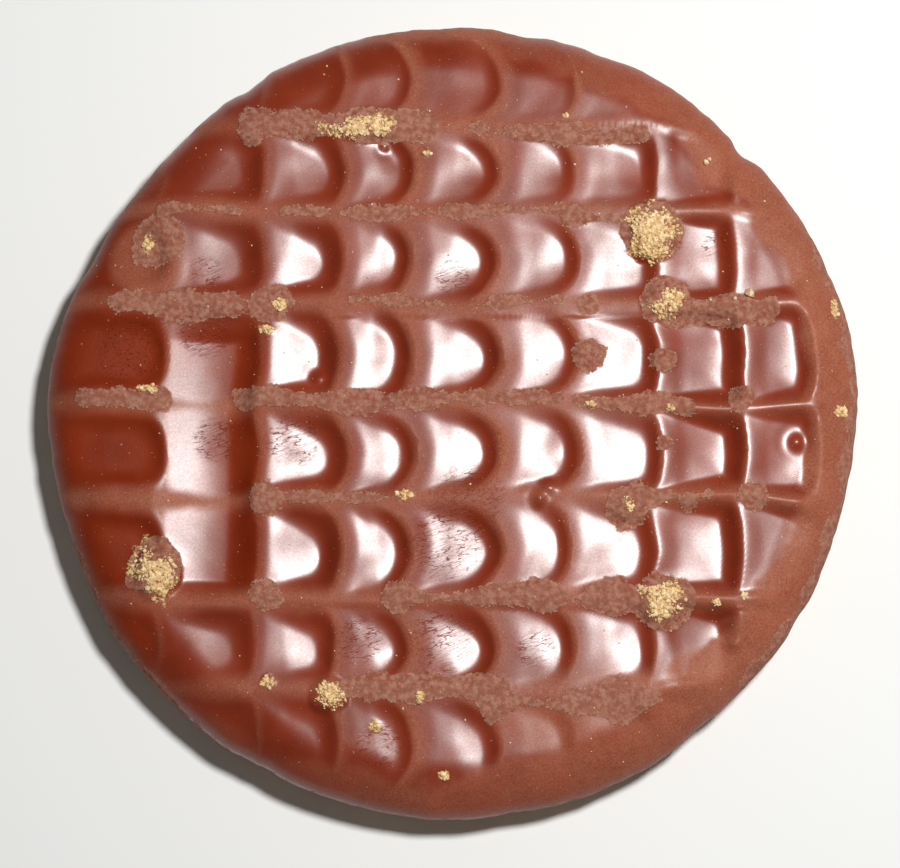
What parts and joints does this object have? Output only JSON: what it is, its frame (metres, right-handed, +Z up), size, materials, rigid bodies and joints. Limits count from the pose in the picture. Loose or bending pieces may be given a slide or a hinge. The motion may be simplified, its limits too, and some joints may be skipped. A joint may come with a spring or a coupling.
{
  "type": "chocolate-coated digestive biscuit",
  "caption": "Round digestive biscuit with one face coated in milk chocolate, moulded in rows of curved scoops between straight ridges and set with crumbs.",
  "frame": {"origin": "on the ground, under the middle of the biscuit's outline", "axes": "+Z up through the thickness, from the plain baked face to the chocolate; the ridges of the chocolate run along X; the scoops between them open towards +X"},
  "size_m": [0.0692, 0.0686, 0.0077],
  "materials": {
    "baked_biscuit": "matte",
    "milk_chocolate": "satin"
  },
  "bodies": {
    "root": {"biscuit": "baked_biscuit", "chocolate": "milk_chocolate"}
  },
  "joints": []
}
